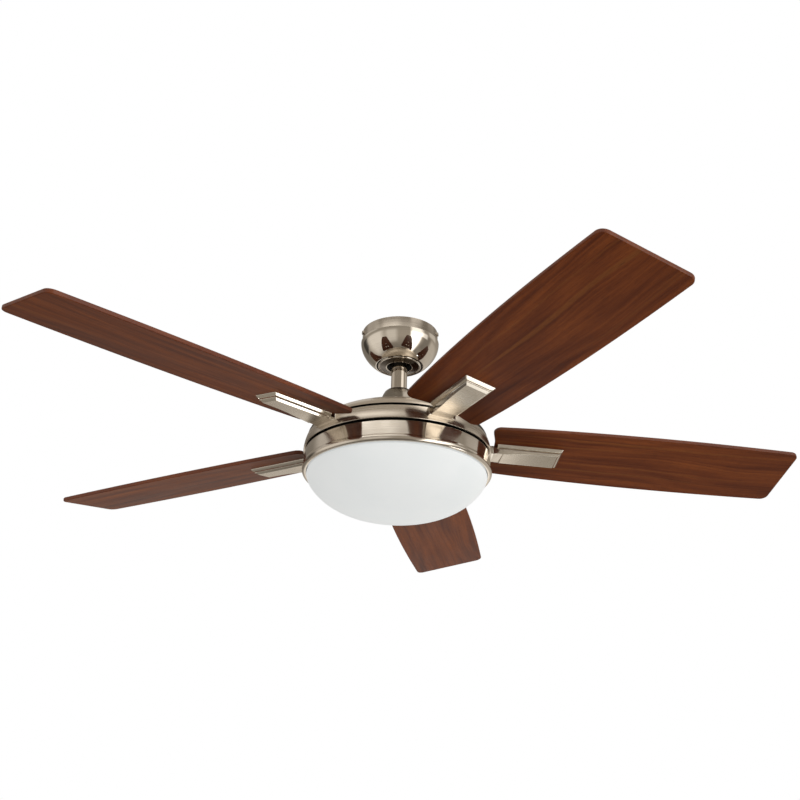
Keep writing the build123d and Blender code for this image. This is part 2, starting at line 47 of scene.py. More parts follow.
# ------------------------------------------------------------------ materials
class Mat:
    """a node material with one Principled shader"""

    def __init__(self, name):
        self.m = bpy.data.materials.new(name)
        self.m.use_nodes = True
        self.t = self.m.node_tree
        self.t.nodes.clear()
        out = self.t.nodes.new("ShaderNodeOutputMaterial")
        self.b = self.t.nodes.new("ShaderNodeBsdfPrincipled")
        self.t.links.new(self.b.outputs[0], out.inputs[0])

    def put(self, **values):
        for k, v in values.items():
            self.b.inputs[k.replace("_", " ")].default_value = v
        return self

    def to(self, name, socket):
        self.t.links.new(socket, self.b.inputs[name])
        return self

    def node(self, kind, **props):
        n = self.t.nodes.new("ShaderNode" + kind)
        for k, v in props.items():
            setattr(n, k, v)
        return n

    def feed(self, node, index, value):
        if isinstance(value, bpy.types.NodeSocket):
            self.t.links.new(value, node.inputs[index])
        elif value is not None:
            node.inputs[index].default_value = value

    def coord(self, which="Object"):
        return self.node("TexCoord").outputs[which]

    def scaled(self, vec, x, y, z):
        n = self.node("VectorMath", operation="MULTIPLY")
        self.feed(n, 0, vec)
        n.inputs[1].default_value = (x, y, z)
        return n.outputs[0]

    def added(self, vec, other):
        n = self.node("VectorMath", operation="ADD")
        self.feed(n, 0, vec)
        self.feed(n, 1, other)
        return n.outputs[0]

    def math(self, op, a, b=None, clamp=False):
        n = self.node("Math", operation=op, use_clamp=clamp)
        self.feed(n, 0, a)
        if b is not None:
            self.feed(n, 1, b)
        return n.outputs[0]

    def split(self, vec):
        n = self.node("SeparateXYZ")
        self.feed(n, 0, vec)
        return n.outputs

    def join(self, x, y, z):
        n = self.node("CombineXYZ")
        for i, v in enumerate((x, y, z)):
            self.feed(n, i, v)
        return n.outputs[0]

    def noise(self, vec, scale=1.0, detail=2.0, rough=0.5, distort=0.0):
        n = self.node("TexNoise")
        self.feed(n, "Vector", vec)
        n.inputs["Scale"].default_value = scale
        n.inputs["Detail"].default_value = detail
        n.inputs["Roughness"].default_value = rough
        n.inputs["Distortion"].default_value = distort
        return n.outputs[0]

    def cells(self, vec, scale):
        n = self.node("TexVoronoi", feature="F1")
        self.feed(n, "Vector", vec)
        n.inputs["Scale"].default_value = scale
        return n.outputs

    def span(self, value, a, b, c, d, smooth=False):
        n = self.node("MapRange", interpolation_type="SMOOTHSTEP" if smooth else "LINEAR")
        self.feed(n, 0, value)
        for i, v in enumerate((a, b, c, d)):
            n.inputs[1 + i].default_value = v
        return n.outputs[0]

    def ramp(self, fac, stops):
        n = self.node("ValToRGB")
        r = n.color_ramp
        while len(r.elements) < len(stops):
            r.elements.new(0.5)
        for e, (p, c) in zip(r.elements, stops):
            e.position = p
            e.color = (*c, 1.0)
        self.feed(n, 0, fac)
        return n.outputs[0]

    def mix(self, fac, a, b, blend="MIX"):
        n = self.node("Mix", data_type="RGBA", blend_type=blend)
        self.feed(n, 0, fac)
        for i, v in ((6, a), (7, b)):
            self.feed(n, i, (*v, 1.0) if isinstance(v, tuple) else v)
        return n.outputs[2]

    def bump(self, height, strength, distance, normal=None):
        n = self.node("Bump")
        n.inputs["Strength"].default_value = strength
        n.inputs["Distance"].default_value = distance
        self.feed(n, "Height", height)
        if normal is not None:
            self.feed(n, "Normal", normal)
        return n.outputs[0]


def about_axis(a):
    """coordinates whose third part runs across turned brush lines: height plus distance from the axis"""
    x, y, z = a.split(a.coord())
    r = a.math("SQRT", a.math("ADD", a.math("MULTIPLY", x, x), a.math("MULTIPLY", y, y)))
    return x, y, z, r


def turned_nickel(name, tone, rough, hair=0.05, aniso=0.0, depth=0.00002, fine=2600.0, shade_inward=False):
    """nickel brushed round the fan's axis, with faint tarnish clouds; the last flag darkens faces that look to the axis
    or down to near-black, a painted shade
    """
    a = Mat(name)
    x, y, z, r = about_axis(a)
    run = a.math("MULTIPLY", a.math("ADD", z, r), fine)
    lines = a.noise(a.join(a.math("MULTIPLY", x, 9.0), a.math("MULTIPLY", y, 9.0), run), 1.0, 3.0, 0.65)
    broad = a.noise(a.join(a.math("MULTIPLY", x, 3.0), a.math("MULTIPLY", y, 3.0), a.math("MULTIPLY", run, 0.12)), 1.0, 2.0, 0.5)
    cloud = a.noise(a.coord(), 26.0, 4.0, 0.6)
    low = tuple(c * 0.90 for c in tone)
    high = tuple(min(1.0, c * 1.06) for c in tone)
    col = a.mix(a.span(lines, 0.3, 0.7, 0.0, 1.0), low, high)
    col = a.mix(a.span(cloud, 0.35, 0.75, 0.0, 0.16), col, (tone[0] * 0.86, tone[1] * 0.80, tone[2] * 0.72))
    ro = a.math("ADD", a.span(lines, 0.25, 0.75, rough - hair, rough + hair), a.span(cloud, 0.3, 0.7, -0.03, 0.03))
    ro = a.math("ADD", ro, a.span(broad, 0.3, 0.7, -0.02, 0.02), clamp=True)
    a.put(Metallic=1.0, Anisotropic=aniso, Anisotropic_Rotation=0.25)
    # painted shade: faces that look to the axis or down turn near-black and dull
    if shade_inward:
        nx, ny, nz = a.split(a.coord("Normal"))
        out = a.math("DIVIDE", a.math("ADD", a.math("MULTIPLY", nx, x), a.math("MULTIPLY", ny, y)), r)
        inward_shade = a.span(a.math("ADD", out, a.math("MULTIPLY", nz, 0.8)), -0.12, -0.04, 1.0, 0.0)
        col = a.mix(inward_shade, col, (0.013, 0.0125, 0.012))
        a.to("Metallic", a.math("SUBTRACT", 1.0, inward_shade))
        ro = a.math("ADD", ro, a.math("MULTIPLY", inward_shade, 0.3), clamp=True)
    a.to("Base Color", col)
    a.to("Roughness", ro)
    if aniso:
        a.to("Tangent", a.node("Tangent", direction_type="RADIAL", axis="Z").outputs[0])
    a.to("Normal", a.bump(lines, 0.22, depth))
    return a.m


def cross_nickel(name, tone, rough, sx, sy, hair=0.06):
    """nickel brushed in straight lines, in the piece's own flat frame"""
    a = Mat(name)
    v = a.coord()
    lines = a.noise(a.scaled(v, sx, sy, 300.0), 1.0, 3.0, 0.65)
    cloud = a.noise(v, 40.0, 4.0, 0.6)
    col = a.mix(a.span(lines, 0.3, 0.7, 0.0, 1.0), tuple(c * 0.9 for c in tone), tuple(min(1.0, c * 1.06) for c in tone))
    col = a.mix(a.span(cloud, 0.35, 0.75, 0.0, 0.18), col, (tone[0] * 0.86, tone[1] * 0.80, tone[2] * 0.72))
    a.to("Base Color", col)
    a.to("Roughness", a.math("ADD", a.span(lines, 0.25, 0.75, rough - hair, rough + hair), a.span(cloud, 0.3, 0.7, -0.03, 0.03), clamp=True))
    a.put(Metallic=1.0)
    a.to("Normal", a.bump(lines, 0.20, 0.00002))
    return a.m


def walnut(name, edge=False, shaded_top=False):
    """warm walnut film under thin satin lacquer, grain along the first map axis; the first flag lightens and reddens
    the rounded edges as painted light, the second darkens the top face as painted shade
    """
    a = Mat(name)
    uv = a.coord("UV")
    px, py, pz = a.split(a.coord("Object"))
    warp = a.noise(a.scaled(uv, 3.0, 7.0, 1.0), 1.0, 2.0, 0.5)
    warp2 = a.noise(a.scaled(uv, 9.0, 34.0, 1.0), 1.0, 2.0, 0.5)
    shift = a.math("ADD", a.span(warp, 0.2, 0.8, -0.010, 0.010), a.span(warp2, 0.2, 0.8, -0.0016, 0.0016))
    w = a.added(uv, a.join(0.0, shift, 0.0))
    bands = a.noise(a.scaled(w, 1.5, 58.0, 1.0), 1.0, 2.0, 0.5)
    mid = a.noise(a.scaled(w, 5.0, 210.0, 1.0), 1.0, 3.0, 0.6)
    fine = a.noise(a.scaled(w, 24.0, 900.0, 1.0), 1.0, 3.0, 0.65)
    cloud = a.noise(a.scaled(uv, 4.0, 15.0, 1.0), 1.0, 2.0, 0.5)
    pores = a.noise(a.scaled(w, 60.0, 1900.0, 1.0), 1.0, 1.0, 0.5)
    # nested arches of the plain-sawn figure
    bend = a.noise(a.scaled(uv, 4.5, 17.0, 1.0), 1.0, 3.0, 0.55)
    yy = a.math("ADD", py, a.span(warp, 0.2, 0.8, -0.022, 0.022))
    arch = a.math("SUBTRACT", a.math("MULTIPLY", a.math("MULTIPLY", yy, yy), 900.0), a.math("MULTIPLY", px, 13.0))
    arch = a.math("SINE", a.math("MULTIPLY", a.math("ADD", arch, a.math("MULTIPLY", bend, 3.4)), 2.6))
    t = a.math("ADD", a.math("MULTIPLY", bands, 0.38), a.math("MULTIPLY", mid, 0.36))
    t = a.math("ADD", t, a.math("MULTIPLY", fine, 0.12))
    t = a.math("ADD", t, a.math("MULTIPLY", cloud, 0.24))
    t = a.math("ADD", t, a.math("MULTIPLY", arch, 0.030))
    t = a.span(t, 0.30, 0.80, 0.0, 1.0)
    col = a.ramp(t, [(0.06, (0.055, 0.0090, 0.0018)), (0.30, (0.115, 0.0236, 0.0045)), (0.52, (0.178, 0.0420, 0.0085)),
                     (0.76, (0.250, 0.0644, 0.0125)), (0.97, (0.338, 0.0966, 0.0175))])
    amber = a.noise(a.scaled(w, 0.8, 88.0, 1.0), 1.0, 1.0, 0.5)
    col = a.mix(a.span(amber, 0.62, 0.74, 0.0, 0.50), col, (0.260, 0.088, 0.018))
    col = a.mix(a.span(pores, 0.56, 0.72, 0.0, 0.52), col, (0.030, 0.0060, 0.0020))
    # painted light: a lighter, redder tone on the rounded edges stands for light catching them
    if edge:
        col = a.mix(0.45, col, (0.150, 0.046, 0.026))
    # painted shade: the top face is darkened as if in the shade above the blades
    if shaded_top:
        col = a.mix(0.68, col, (0.022, 0.0085, 0.0040))
    # painted shade: darker towards the root, standing for the shade the housing casts on the blade
    col = a.mix(a.span(px, 0.150, 0.290, 0.46, 0.0, True), col, (0.020, 0.0035, 0.0006))
    a.to("Base Color", col)
    ro = a.math("ADD", a.span(fine, 0.3, 0.7, 0.36, 0.46), a.span(cloud, 0.3, 0.7, -0.03, 0.03))
    a.to("Roughness", ro)
    a.put(Specular_IOR_Level=0.34 if edge else 0.09)
    hgt = a.math("SUBTRACT", a.math("MULTIPLY", fine, 0.6), a.span(pores, 0.60, 0.74, 0.0, 0.7))
    a.to("Normal", a.bump(hgt, 0.14, 0.00005))
    return a.m


def opal(name):
    """white flashed glass with a satin etched skin and a faint painted glow"""
    a = Mat(name)
    v = a.coord()
    cloud = a.noise(v, 14.0, 3.0, 0.5)
    grit = a.noise(v, 2600.0, 2.0, 0.6)
    a.to("Base Color", a.mix(a.span(cloud, 0.3, 0.7, 0.0, 1.0), (0.470, 0.492, 0.500), (0.495, 0.512, 0.520)))
    a.to("Roughness", a.math("ADD", a.span(grit, 0.3, 0.7, 0.40, 0.48), a.span(cloud, 0.3, 0.7, -0.02, 0.02)))
    # painted light: the glass glows faintly, standing for light scattered inside the bowl; it is no lamp
    a.put(IOR=1.5, Specular_IOR_Level=0.20, Emission_Strength=1.0)
    a.to("Emission Color", a.mix(a.span(cloud, 0.3, 0.7, 0.0, 1.0), (0.425, 0.446, 0.456), (0.440, 0.458, 0.466)))
    a.to("Normal", a.bump(grit, 0.05, 0.00001))
    return a.m


def galvanised(name):
    a = Mat(name)
    v = a.coord()
    flake = a.cells(v, 210.0)
    dust = a.noise(v, 60.0, 4.0, 0.6)
    shade = a.split(flake[1])[0]
    col = a.mix(shade, (0.50, 0.515, 0.53), (0.66, 0.67, 0.68))
    col = a.mix(a.span(dust, 0.45, 0.75, 0.0, 0.3), col, (0.40, 0.40, 0.39))
    a.to("Base Color", col)
    a.to("Roughness", a.math("ADD", a.span(shade, 0.0, 1.0, 0.30, 0.44), a.span(dust, 0.3, 0.7, -0.03, 0.05)))
    a.put(Metallic=1.0)
    a.to("Normal", a.bump(dust, 0.12, 0.00005))
    return a.m


def plated(name, tone, rough):
    """small plated fastener"""
    a = Mat(name)
    v = a.coord()
    dust = a.noise(v, 500.0, 4.0, 0.6)
    tool = a.noise(a.scaled(v, 900.0, 900.0, 120.0), 1.0, 2.0, 0.5)
    a.to("Base Color", a.mix(a.span(dust, 0.3, 0.7, 0.0, 1.0), tuple(c * 0.82 for c in tone), tone))
    a.to("Roughness", a.math("ADD", a.span(tool, 0.3, 0.7, rough - 0.06, rough + 0.06), a.span(dust, 0.3, 0.7, -0.03, 0.03)))
    a.put(Metallic=1.0)
    a.to("Normal", a.bump(tool, 0.10, 0.00002))
    return a.m


def moulded(name, tone, rough, grain=1500.0, metallic=0.0, spec=0.5):
    """moulded, cast or painted surface with a fine grain"""
    a = Mat(name)
    v = a.coord()
    g = a.noise(v, grain, 3.0, 0.6)
    c = a.noise(v, 35.0, 3.0, 0.5)
    a.to("Base Color", a.mix(a.span(c, 0.3, 0.7, 0.0, 1.0), tuple(x * 0.86 for x in tone), tuple(min(1.0, x * 1.08) for x in tone)))
    a.to("Roughness", a.math("ADD", a.span(g, 0.3, 0.7, rough - 0.05, rough + 0.05), a.span(c, 0.3, 0.7, -0.03, 0.03)))
    a.put(Metallic=metallic, Specular_IOR_Level=spec)
    a.to("Normal", a.bump(g, 0.18, 0.00004))
    return a.m


def stacked(name, tone, pitch, rough, metallic=1.0):
    """thin layers one on another along the axis, such as core plates or wound wire"""
    a = Mat(name)
    x, y, z, r = about_axis(a)
    wave = a.math("SINE", a.math("MULTIPLY", z, 2 * math.pi / pitch))
    c = a.noise(a.coord(), 70.0, 3.0, 0.6)
    col = a.mix(a.span(wave, -1.0, 1.0, 0.0, 1.0), tuple(k * 0.55 for k in tone), tone)
    a.to("Base Color", a.mix(a.span(c, 0.35, 0.7, 0.0, 0.35), col, tuple(k * 0.5 for k in tone)))
    a.to("Roughness", a.span(c, 0.3, 0.7, rough - 0.06, rough + 0.06))
    a.put(Metallic=metallic)
    a.to("Normal", a.bump(wave, 0.35, 0.00008))
    return a.m


NICKEL = (0.565, 0.505, 0.430)
BRIGHT = (0.720, 0.665, 0.585)
M_BAND = turned_nickel("nickel_satin_canopy", tuple(c * 0.94 for c in NICKEL), 0.15, 0.02, 0.30, 0.000002, 1600.0)
M_BOWL = turned_nickel("nickel_polished", BRIGHT, 0.055, 0.012, 0.0, 0.000002, 2200.0)
M_TRIM = turned_nickel("nickel_trim_shadowed", (0.115, 0.096, 0.078), 0.16, 0.03, 0.0, 0.000004, 1800.0)
M_RING = turned_nickel("nickel_ring", (0.690, 0.630, 0.550), 0.145, 0.02, 1.0, 0.000004)
M_HOUSE = turned_nickel("nickel_satin_housing", NICKEL, 0.32, 0.06, 0.35)
# the cap's faces towards the axis and downward carry painted shade
M_CAP = turned_nickel("nickel_satin_cap", NICKEL, 0.30, 0.06, 0.35, shade_inward=True)
M_ROTOR = turned_nickel("nickel_satin_rotor", NICKEL, 0.24, 0.05, 0.3)
M_ROD = turned_nickel("nickel_satin_rod", tuple(c * 1.14 for c in NICKEL), 0.11, 0.02, 0.0, 0.000004)
# painted shade: near-black for inner faces, undersides and hidden parts that lie in shade
M_PAINTED_SHADE = moulded("painted_shade_black", (0.013, 0.0125, 0.012), 0.62, 900.0, 0.0, 0.2)
# painted shade: the yoke cover's nickel is darkened to 0.44 of the housing's tone
M_COVER_SHADED = turned_nickel("nickel_satin_cover", tuple(c * 0.44 for c in NICKEL), 0.20, 0.04, 0.3)
M_ARM = cross_nickel("nickel_arm_face", (0.640, 0.580, 0.495), 0.27, 2300.0, 60.0)
M_ARM_EDGE = cross_nickel("nickel_arm_edge", (0.740, 0.690, 0.610), 0.13, 90.0, 1500.0, 0.03)
M_WOOD = walnut("walnut_face")
M_WOOD_EDGE = walnut("walnut_edge", True)
# the blades' top faces carry painted shade
M_WOOD_TOP = walnut("walnut_top_face", shaded_top=True)
M_OPAL = opal("opal_glass_etched")
CAD_MATERIALS = {
    "satin_nickel": M_HOUSE,
    "polished_nickel": M_BOWL,
    "zinc_steel": galvanised("zinc_plated_steel"),
    "nickel_screw": plated("nickel_plated_screw", (0.66, 0.605, 0.53), 0.24),
    "green_steel": moulded("green_earth_screw", (0.030, 0.190, 0.060), 0.32, 900.0, 0.35),
    "black_plastic": moulded("black_moulded_plastic", (0.016, 0.016, 0.017), 0.46),
    "black_nylon": moulded("black_nylon_seat", (0.020, 0.019, 0.018), 0.55, 1100.0),
    "laminations": stacked("core_plates", (0.30, 0.31, 0.33), 0.0007, 0.42),
    "copper": stacked("wound_copper", (0.62, 0.255, 0.10), 0.0011, 0.34),
    "cast_aluminium": moulded("cast_aluminium_skin", (0.56, 0.56, 0.565), 0.48, 1000.0, 1.0),
    "walnut": M_WOOD,
    "white_paint": moulded("white_baked_paint", (0.78, 0.78, 0.765), 0.40, 800.0),
    "porcelain_white": moulded("glazed_porcelain", (0.80, 0.79, 0.76), 0.16, 500.0),
    "bulb_white": moulded("frosted_lamp", (0.84, 0.84, 0.83), 0.34, 1800.0),
    "opal_glass": M_OPAL,
}
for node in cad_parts.values():
    for s in node.material_slots:
        s.material = CAD_MATERIALS[s.material.name.split(".")[0]]
# painted shade: the hanger bracket and ball inside the canopy are made near-black in place of their zinc steel
M_BRACKET_SHADE = moulded("bracket_shade_black", (0.020, 0.019, 0.018), 0.46, 700.0, 0.0, 0.35)
# the blade flange takes the painted shade black in place of its cast aluminium
for n, m in (("downrod", M_ROD), ("top_cap", M_CAP), ("blade_flange", M_PAINTED_SHADE), ("hanger_bracket", M_BRACKET_SHADE), ("hanger_ball", M_BRACKET_SHADE)):
    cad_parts[n].material_slots[0].material = m


# ------------------------------------------------------------------ mesh helpers
def spline(points, step):
    """curvature-continuous curve through the points, sampled about every `step`"""
    p = np.array(points, float)
    t = np.concatenate([[0.0], np.cumsum(np.linalg.norm(np.diff(p, axis=0), axis=1))])
    n, h = len(t), np.diff(t)
    m = np.zeros((n, n))
    rhs = np.zeros((n, p.shape[1]))
    m[0, 0], m[0, 1], m[0, 2] = h[1], -(h[0] + h[1]), h[0]
    m[-1, -1], m[-1, -2], m[-1, -3] = h[-2], -(h[-1] + h[-2]), h[-1]
    for i in range(1, n - 1):
        m[i, i - 1], m[i, i], m[i, i + 1] = h[i - 1], 2 * (h[i - 1] + h[i]), h[i]
        rhs[i] = 6 * ((p[i + 1] - p[i]) / h[i] - (p[i] - p[i - 1]) / h[i - 1])
    c = np.linalg.solve(m, rhs)
    out = []
    for s in np.linspace(0.0, t[-1], max(3, int(round(t[-1] / step)) + 1)):
        i = min(n - 2, max(0, int(np.searchsorted(t, s, "right")) - 1))
        a, b = t[i + 1] - s, s - t[i]
        q = (c[i] * a**3 + c[i + 1] * b**3) / (6 * h[i])
        q = q + (p[i] / h[i] - c[i] * h[i] / 6) * a + (p[i + 1] / h[i] - c[i + 1] * h[i] / 6) * b
        out.append(tuple(q))
    return out


def soften(points, radius, steps=4, least=14.0, closed=True):
    """rounds each corner that turns by more than `least` degrees"""
    out, n = [], len(points)
    for i, p in enumerate(points):
        p = Vector(p)
        rr = radius[i] if isinstance(radius, (list, tuple)) else radius
        if not closed and i in (0, n - 1):
            out.append(tuple(p))
            continue
        d1, d2 = Vector(points[i - 1]) - p, Vector(points[(i + 1) % n]) - p
        l1, l2 = d1.length, d2.length
        if min(l1, l2) < 1e-9:
            continue
        d1, d2 = d1 / l1, d2 / l2
        turn = math.pi - d1.angle(d2)
        if turn < rad(least) or rr <= 0:
            out.append(tuple(p))
            continue
        reach = min(rr * math.tan(turn / 2), 0.47 * l1, 0.47 * l2)
        rr = reach / math.tan(turn / 2)
        mid = (d1 + d2).normalized()
        c = p + mid * (rr / math.cos(turn / 2))
        a, b = p + d1 * reach - c, p + d2 * reach - c
        for k in range(steps + 1):
            f = k / steps
            q = (a * math.sin((1 - f) * turn) + b * math.sin(f * turn)) / math.sin(turn)
            out.append(tuple(c + q))
    return out


def finish_mesh(name, verts, faces, material, body, nodes, matrix=None):
    me = bpy.data.meshes.new(name)
    me.from_pydata(verts, [], faces)
    me.validate()
    bm = bmesh.new()
    bm.from_mesh(me)
    bmesh.ops.recalc_face_normals(bm, faces=bm.faces)
    bm.to_mesh(me)
    bm.free()
    for p in me.polygons:
        p.use_smooth = True
    o = bpy.data.objects.new(name, me)
    scene.collection.objects.link(o)
    for m in material if isinstance(material, (list, tuple)) else [material]:
        me.materials.append(m)
    if matrix is not None:
        o.matrix_world = matrix
    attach(o, body)
    if nodes:
        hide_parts(*nodes)
    return o


def lathe(name, profile, material, body, nodes, seg=192, centre=(0.0, 0.0), shade_faces=None):
    """a turned piece with exact normals; the profile is (radius, height) in mm, closed;
    the last argument says by place and normal which faces take the second material, which is painted shade"""
    pts = [p for i, p in enumerate(profile) if (Vector(p) - Vector(profile[i - 1])).length > 1e-6]
    n = len(pts)
    area = sum(pts[i][0] * pts[(i + 1) % n][1] - pts[(i + 1) % n][0] * pts[i][1] for i in range(n))
    if area < 0:
        pts.reverse()
    edge = []
    for i in range(n):
        (r0, z0), (r1, z1) = pts[i], pts[(i + 1) % n]
        edge.append(Vector((z1 - z0, r0 - r1)))
    verts, normals, rows = [], [], []
    for i in range(n):
        r, z = pts[i]
        nr = edge[i - 1] + edge[i]
        if r < 1e-6:
            rows.append([len(verts)])
            verts.append((centre[0] * MM, centre[1] * MM, z * MM))
            normals.append((0.0, 0.0, 1.0 if nr.y > 0 else -1.0))
            continue
        nr = nr.normalized() if nr.length > 1e-12 else edge[i].normalized()
        row = []
        for k in range(seg):
            a = 2 * math.pi * k / seg
            row.append(len(verts))
            verts.append(((centre[0] + r * math.cos(a)) * MM, (centre[1] + r * math.sin(a)) * MM, z * MM))
            normals.append((nr.x * math.cos(a), nr.x * math.sin(a), nr.y))
        rows.append(row)
    faces = []
    for i in range(n):
        a, b = rows[i], rows[(i + 1) % n]
        if len(a) == 1 and len(b) == 1:
            continue
        for k in range(seg):
            j = (k + 1) % seg
            if len(a) == 1:
                faces.append((a[0], b[k], b[j]))
            elif len(b) == 1:
                faces.append((a[k], b[0], a[j]))
            else:
                faces.append((a[k], b[k], b[j], a[j]))
    o = finish_mesh(name, verts, faces, material, body, nodes)
    if shade_faces:
        for q in o.data.polygons:
            c, d = q.center, Vector(q.center[:2])
            out = q.normal.x * d.x + q.normal.y * d.y
            if shade_faces(d.length / MM, c.z / MM, out / max(d.length, 1e-9), q.normal.z):
                q.material_index = 1
    o.data.normals_split_custom_set_from_vertices(normals)
    return o


def weigh_normals(me, angle=38.0):
    """smooths between faces that meet at less than `angle`, the larger face counting for more"""
    limit = math.cos(rad(angle))
    area = [p.area for p in me.polygons]
    norm = [p.normal.copy() for p in me.polygons]
    at = [[] for _ in me.vertices]
    for p in me.polygons:
        for v in p.vertices:
            at[v].append(p.index)
    out = []
    for p in me.polygons:
        for v in p.vertices:
            s = Vector((0, 0, 0))
            for q in at[v]:
                if norm[q].dot(norm[p.index]) > limit:
                    s += norm[q] * area[q]
            out.append(s.normalized())
    me.normals_split_custom_set(out)


def rrect(u0, u1, v0, v1, r, n=4):
    """rectangle with round corners, as a loop of points"""
    r = max(1e-4, min(r, 0.49 * (u1 - u0), 0.49 * (v1 - v0)))
    out = []
    for cx, cy, a0 in ((u1 - r, v0 + r, -90), (u1 - r, v1 - r, 0), (u0 + r, v1 - r, 90), (u0 + r, v0 + r, 180)):
        for k in range(n + 1):
            a = rad(a0 + 90.0 * k / n)
            out.append((cx + r * math.cos(a), cy + r * math.sin(a)))
    return out


class Shell:
    """collects closed solids made of loops bridged one to the next"""

    def __init__(self):
        self.verts, self.faces, self.mats = [], [], []

    def stack(self, loops, place, mats=0, caps=(0, 0)):
        rows = []
        for loop, h in loops:
            rows.append([len(self.verts) + k for k in range(len(loop))])
            self.verts.extend(place(p, h) for p in loop)
        m = len(rows[0])
        for i in range(len(rows) - 1):
            for k in range(m):
                j = (k + 1) % m
                self.faces.append((rows[i][k], rows[i][j], rows[i + 1][j], rows[i + 1][k]))
                self.mats.append(mats[i] if isinstance(mats, (list, tuple)) else mats)
        self.faces.append(tuple(reversed(rows[0])))
        self.mats.append(caps[0])
        self.faces.append(tuple(rows[-1]))
        self.mats.append(caps[1])


def blade_frame(k):
    th, ph, co = rad(7.59 + 72.0 * k), rad(-11.46), rad(-0.91)
    uh, vh, zh = Vector((math.cos(th), math.sin(th), 0)), Vector((-math.sin(th), math.cos(th), 0)), Vector((0, 0, 1))
    ua = uh * math.cos(co) + zh * math.sin(co)
    za = zh * math.cos(co) - uh * math.sin(co)
    vv = vh * math.cos(ph) + za * math.sin(ph)
    ww = za * math.cos(ph) - vh * math.sin(ph)
    m = Matrix((ua, vv, ww)).transposed().to_4x4()
    m.translation = Vector((0, 0, ZB * MM))
    return m


def zb(points):
    return [(r, z + ZB) for r, z in points]


# ------------------------------------------------------------------ canopy
lathe("canopy_band_spun", soften([(62, -1), (64, -1), (64, -20), (64.8, -20), (64.8, -24), (62, -24)], [0.3, 0.9, 0.0, 0.0, 0.3, 0.3]),
      [M_BAND, M_PAINTED_SHADE], "ceiling_mount", ["canopy_band"], 224, shade_faces=lambda r, z, n, up: r < 62.5)
bowl_out = spline([(66, -20), (65.4, -26.6), (63.7, -33.3), (60.7, -40), (56.6, -46.6), (51.2, -53.2), (44.4, -59.6), (40.2, -62.5)], 0.9)
bowl_in = spline([(41.5, -59.8), (43.4, -58.4), (50.2, -52.2), (55.5, -45.8), (59.5, -39.4), (62.5, -32.8), (64.2, -27), (64.8, -24)], 1.6)
lathe("canopy_bowl_spun", soften(bowl_out + [(38.9, -62.6), (38.3, -61.0), (30, -61.0), (30, -59.8)] + bowl_in + [(64.8, -20)], 0.45),
      [M_BOWL, M_PAINTED_SHADE], "ceiling_mount", ["canopy_bowl"], 256, shade_faces=lambda r, z, n, up: up - n > 0.05 or r < 38.4)
lathe("canopy_trim_spun", soften([(21, -63), (21, -64.3), (21.7, -64.9), (22.6, -64.8), (33.4, -62.7), (34.2, -63.2), (35.2, -63.35), (36.2, -62.9),
                                  (36.6, -62.2), (36.6, -61), (33, -61)], 0.6, 5),
      [M_BOWL, M_TRIM], "ceiling_mount", ["canopy_trim"], 192, shade_faces=lambda r, z, n, up: up > 0.3 or r > 36.55 or r < 21.02 or 23.0 < r < 33.2)

# ------------------------------------------------------------------ rod, cover and turning band
cover_out = spline([(16.2, 94.0), (17.9, 93.5), (20.2, 92.6), (22.0, 91.5), (23.5, 90.0), (24.8, 87.8), (26.0, 85.2), (27.9, 80.8), (31.5, 71.7),
                    (35.2, 62.5), (38.9, 53.4), (43.8, 41.2)], 1.0)
cover_in = spline([(42.4, 40.2), (37.6, 52.6), (33.9, 61.9), (30.2, 71.2), (26.7, 80.0), (24.8, 84.6), (23.5, 87.4), (22.3, 89.2), (21.0, 90.4), (19.5, 91.3),
                   (17.6, 92.1), (16.0, 92.6)], 2.0)
lathe("yoke_cover_spun", soften(zb(cover_out + [(43.8, 40.2)] + cover_in + [(14, 92.9), (14, 94.6), (14.8, 94.6)]), 0.4),
      M_COVER_SHADED, "motor_body", ["yoke_cover"], 160)
def bow(a, b, c, steps):
    """points of the circle arc that starts at a, passes b and ends at c"""
    (ax, ay), (bx, by), (cx, cy) = a, b, c
    d = 2 * (ax * (by - cy) + bx * (cy - ay) + cx * (ay - by))
    ox = ((ax**2 + ay**2) * (by - cy) + (bx**2 + by**2) * (cy - ay) + (cx**2 + cy**2) * (ay - by)) / d
    oy = ((ax**2 + ay**2) * (cx - bx) + (bx**2 + by**2) * (ax - cx) + (cx**2 + cy**2) * (bx - ax)) / d
    r = math.hypot(ax - ox, ay - oy)
    t0, t1 = math.atan2(ay - oy, ax - ox), math.atan2(cy - oy, cx - ox)
    return [(ox + r * math.cos(t0 + (t1 - t0) * i / steps), oy + r * math.sin(t0 + (t1 - t0) * i / steps)) for i in range(steps + 1)]


FLARE = bow((147.0, 1.4), (150.9, -10.5), (152.2, -21.0), 24)
lathe("rotor_band_spun", soften(zb([(143, -17.2), (148.0, -17.6), (148.4, -21.6), (151.7, -21.6)] + FLARE[::-1] + [(146.4, 2.0), (141, 2.0), (141, 0.4), (143, 0.4)]), 0.3, 3),
      [M_ROTOR, M_PAINTED_SHADE], "rotor", ["rotor_band"], 256, shade_faces=lambda r, z, n, up: r < 145.6 or n < -0.5 or (up < -0.9 and r < 148.3))

